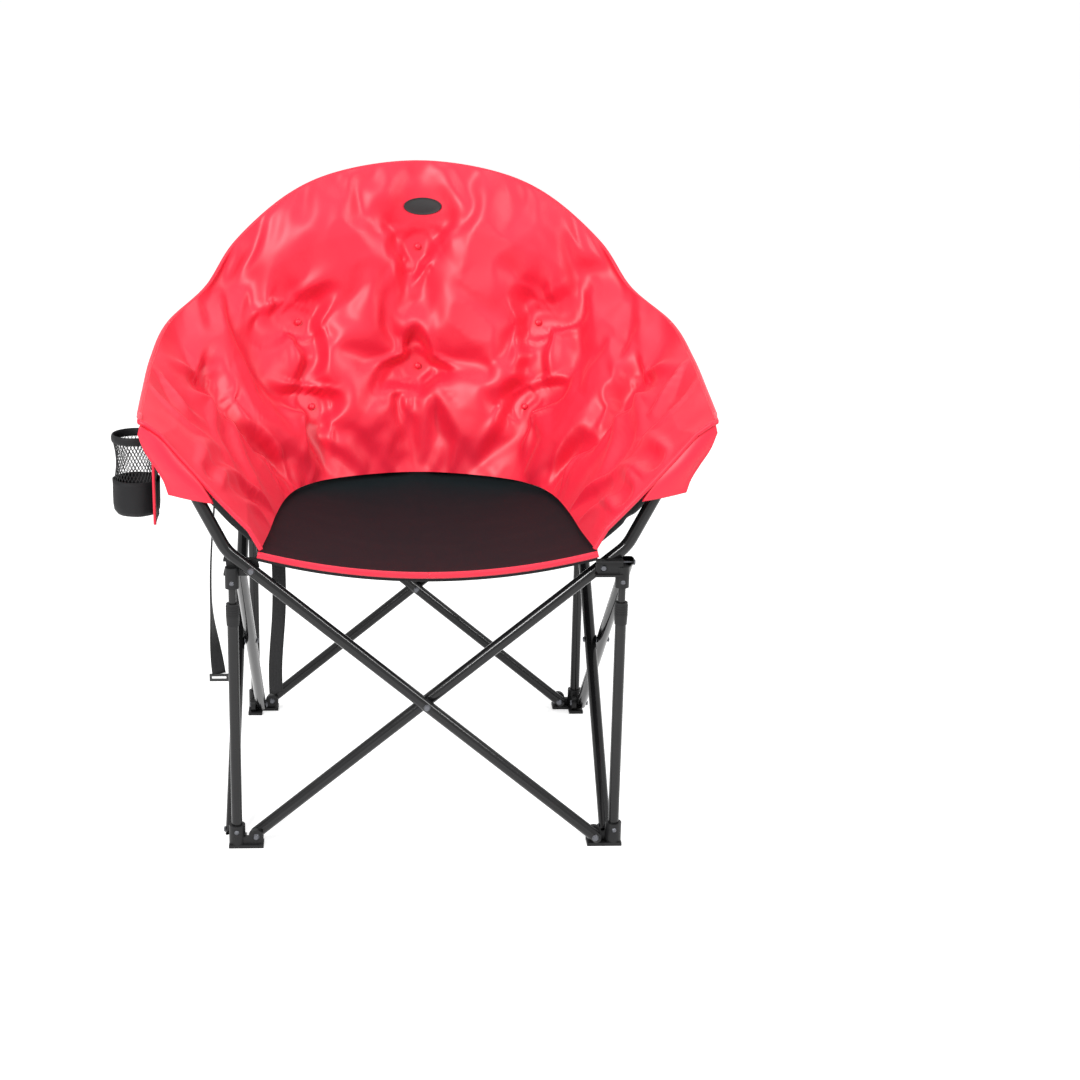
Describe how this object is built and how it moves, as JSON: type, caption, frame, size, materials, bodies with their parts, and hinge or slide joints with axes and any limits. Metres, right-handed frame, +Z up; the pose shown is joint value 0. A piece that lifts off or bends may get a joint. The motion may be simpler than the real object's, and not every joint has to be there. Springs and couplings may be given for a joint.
{
  "type": "folding camping chair",
  "caption": "Padded folding camping chair with a quilted bucket seat, scissor frame on telescopic legs, arm cup holder and tie straps.",
  "frame": {"origin": "on the floor, in the middle of the four legs", "axes": "+Z up, the sitter faces -Y, +X towards the arm without the cup holder"},
  "size_m": [0.8648, 0.6405, 0.9352],
  "materials": {
    "moulded_black_plastic": "fine moulded texture",
    "zinc_plated_steel": "dull zinc",
    "black_powder_coated_steel": "gloss powder coat",
    "black_polyester": "plain weave, slight sheen",
    "red_polyester": "satin weave, padded",
    "red_binding": "bias binding over cord",
    "black_net": "open polyester net",
    "black_webbing": "ribbed woven webbing",
    "black_coated_wire": "black coated wire",
    "black_rubber": "smooth moulded patch"
  },
  "bodies": {
    "front_left_foot": {"front_left_foot": "moulded_black_plastic", "front_left_foot_rivets": "zinc_plated_steel", "front_left_leg_tube": "black_powder_coated_steel", "front_left_leg_collar": "moulded_black_plastic"},
    "front_right_foot": {"front_right_foot": "moulded_black_plastic", "front_right_foot_rivets": "zinc_plated_steel", "front_right_leg_tube": "black_powder_coated_steel", "front_right_leg_collar": "moulded_black_plastic"},
    "rear_left_foot": {"rear_left_foot": "moulded_black_plastic", "rear_left_foot_rivets": "zinc_plated_steel", "rear_left_leg_tube": "black_powder_coated_steel", "rear_left_leg_collar": "moulded_black_plastic"},
    "rear_right_foot": {"rear_right_foot": "moulded_black_plastic", "rear_right_foot_rivets": "zinc_plated_steel", "rear_right_leg_tube": "black_powder_coated_steel", "rear_right_leg_collar": "moulded_black_plastic"},
    "right_arm_tube": {"right_arm_tube": "black_powder_coated_steel", "front_cross_rivet": "zinc_plated_steel", "right_arm_sleeve": "red_polyester", "right_arm_pad": "red_polyester"},
    "left_arm_tube": {"left_arm_tube": "black_powder_coated_steel", "left_arm_sleeve": "red_polyester", "left_arm_pad": "red_polyester", "cup_holder_band": "black_polyester", "cup_holder_net": "black_net", "cup_holder_base": "black_polyester", "cup_holder_flap": "black_polyester"},
    "left_side_tube_outer": {"left_side_tube_outer": "black_powder_coated_steel"},
    "left_side_tube_inner": {"left_side_tube_inner": "black_powder_coated_steel", "left_cross_rivet": "zinc_plated_steel"},
    "right_side_tube_inner": {"right_side_tube_inner": "black_powder_coated_steel", "right_cross_rivet": "zinc_plated_steel"},
    "right_side_tube_outer": {"right_side_tube_outer": "black_powder_coated_steel"},
    "right_back_tube": {"right_back_tube": "black_powder_coated_steel", "right_back_pocket": "black_polyester"},
    "left_back_tube": {"left_back_tube": "black_powder_coated_steel", "rear_cross_rivet": "zinc_plated_steel", "left_back_pocket": "black_polyester"},
    "front_left_hub": {"front_left_hub": "moulded_black_plastic", "front_left_hub_rivets": "zinc_plated_steel", "front_left_leg_slider": "black_powder_coated_steel", "long_strap": "black_webbing"},
    "front_right_hub": {"front_right_hub": "moulded_black_plastic", "front_right_hub_rivets": "zinc_plated_steel", "front_right_leg_slider": "black_powder_coated_steel"},
    "rear_left_hub": {"rear_left_hub": "moulded_black_plastic", "rear_left_hub_rivets": "zinc_plated_steel", "rear_left_leg_slider": "black_powder_coated_steel", "back_pad": "red_polyester", "back_tuft_buttons": "red_polyester", "back_badge": "black_rubber"},
    "rear_right_hub": {"rear_right_hub": "moulded_black_plastic", "rear_right_hub_rivets": "zinc_plated_steel", "rear_right_leg_slider": "black_powder_coated_steel"},
    "seat_left": {"seat_panel_left": "black_polyester", "seat_binding_left": "red_binding"},
    "seat_right": {"seat_panel_right": "black_polyester", "seat_binding_right": "red_binding"},
    "tie_strap": {"tie_strap": "black_webbing", "tie_strap_buckle": "black_coated_wire"}
  },
  "joints": [
    {"name": "fold", "type": "hinge", "parent": "front_left_foot", "child": "right_arm_tube", "pos_m": [-0.25, -0.2625, 0.016], "axis": [0, -1, 0], "range_deg": [0, 37.5], "deforming": ["back_pad", "left_arm_pad", "right_arm_pad", "seat_panel_left", "seat_panel_right", "seat_binding_left", "seat_binding_right", "left_back_pocket", "right_back_pocket", "cup_holder_flap", "cup_holder_net", "cup_holder_base", "cup_holder_band", "tie_strap", "long_strap", "back_tuft_buttons", "back_badge"]},
    {"name": "front_cross_pivot", "type": "hinge", "parent": "right_arm_tube", "child": "left_arm_tube", "pos_m": [0, -0.272, 0.223], "axis": [0, -1, 0], "range_deg": [-75, 0]},
    {"name": "front_right_foot_pivot", "type": "hinge", "parent": "left_arm_tube", "child": "front_right_foot", "pos_m": [0.25, -0.2815, 0.016], "axis": [0, -1, 0], "range_deg": [0, 37.5]},
    {"name": "front_right_hub_pivot", "type": "hinge", "parent": "right_arm_tube", "child": "front_right_hub", "pos_m": [0.25, -0.2625, 0.43], "axis": [0, -1, 0], "range_deg": [-37.5, 0]},
    {"name": "front_left_hub_pivot", "type": "hinge", "parent": "left_arm_tube", "child": "front_left_hub", "pos_m": [-0.25, -0.2815, 0.43], "axis": [0, -1, 0], "range_deg": [0, 37.5]},
    {"name": "left_side_pivot", "type": "hinge", "parent": "front_left_foot", "child": "left_side_tube_outer", "pos_m": [-0.2875, -0.25, 0.016], "axis": [1, 0, 0], "range_deg": [0, 37.5]},
    {"name": "left_cross_pivot", "type": "hinge", "parent": "left_side_tube_outer", "child": "left_side_tube_inner", "pos_m": [-0.278, 0, 0.223], "axis": [1, 0, 0], "range_deg": [-75, 0]},
    {"name": "rear_left_foot_pivot", "type": "hinge", "parent": "left_side_tube_inner", "child": "rear_left_foot", "pos_m": [-0.2685, 0.25, 0.016], "axis": [1, 0, 0], "range_deg": [0, 37.5]},
    {"name": "rear_left_hub_pivot", "type": "hinge", "parent": "left_side_tube_outer", "child": "rear_left_hub", "pos_m": [-0.2875, 0.25, 0.43], "axis": [1, 0, 0], "range_deg": [-37.5, 0]},
    {"name": "right_side_pivot", "type": "hinge", "parent": "front_right_foot", "child": "right_side_tube_inner", "pos_m": [0.2685, -0.25, 0.016], "axis": [1, 0, 0], "range_deg": [0, 37.5]},
    {"name": "right_cross_pivot", "type": "hinge", "parent": "right_side_tube_inner", "child": "right_side_tube_outer", "pos_m": [0.278, 0, 0.223], "axis": [1, 0, 0], "range_deg": [-75, 0]},
    {"name": "rear_right_foot_pivot", "type": "hinge", "parent": "right_side_tube_outer", "child": "rear_right_foot", "pos_m": [0.2875, 0.25, 0.016], "axis": [1, 0, 0], "range_deg": [0, 37.5]},
    {"name": "rear_right_hub_pivot", "type": "hinge", "parent": "right_side_tube_inner", "child": "rear_right_hub", "pos_m": [0.2685, 0.25, 0.43], "axis": [1, 0, 0], "range_deg": [-37.5, 0]},
    {"name": "rear_side_pivot", "type": "hinge", "parent": "rear_left_foot", "child": "right_back_tube", "pos_m": [-0.25, 0.2815, 0.016], "axis": [0, -1, 0], "range_deg": [0, 37.5]},
    {"name": "rear_cross_pivot", "type": "hinge", "parent": "right_back_tube", "child": "left_back_tube", "pos_m": [0, 0.272, 0.223], "axis": [0, -1, 0], "range_deg": [-75, 0]},
    {"name": "seat_left_sling", "type": "hinge", "parent": "front_left_hub", "child": "seat_left", "pos_m": [-0.222, 0, 0.44], "axis": [0, 1, 0], "range_deg": [0, 78.38]},
    {"name": "seat_right_sling", "type": "hinge", "parent": "front_right_hub", "child": "seat_right", "pos_m": [0.222, 0, 0.44], "axis": [0, -1, 0], "range_deg": [0, 78.38]},
    {"name": "tie_strap_hang", "type": "hinge", "parent": "left_arm_tube", "child": "tie_strap", "pos_m": [-0.303, -0.222, 0.534], "axis": [0, -1, 0], "range_deg": [0, 37.5]}
  ],
  "couplings": [
    {"joint": "front_cross_pivot", "follows": "fold", "ratio": -2},
    {"joint": "front_right_foot_pivot", "follows": "fold", "ratio": 1},
    {"joint": "front_right_hub_pivot", "follows": "fold", "ratio": -1},
    {"joint": "front_left_hub_pivot", "follows": "fold", "ratio": 1},
    {"joint": "left_side_pivot", "follows": "fold", "ratio": 1},
    {"joint": "left_cross_pivot", "follows": "fold", "ratio": -2},
    {"joint": "rear_left_foot_pivot", "follows": "fold", "ratio": 1},
    {"joint": "rear_left_hub_pivot", "follows": "fold", "ratio": -1},
    {"joint": "right_side_pivot", "follows": "fold", "ratio": 1},
    {"joint": "right_cross_pivot", "follows": "fold", "ratio": -2},
    {"joint": "rear_right_foot_pivot", "follows": "fold", "ratio": 1},
    {"joint": "rear_right_hub_pivot", "follows": "fold", "ratio": -1},
    {"joint": "rear_side_pivot", "follows": "fold", "ratio": 1},
    {"joint": "rear_cross_pivot", "follows": "fold", "ratio": -2},
    {"joint": "seat_left_sling", "follows": "fold", "ratio": 2.09},
    {"joint": "seat_right_sling", "follows": "fold", "ratio": 2.09},
    {"joint": "tie_strap_hang", "follows": "fold", "ratio": 1}
  ]
}
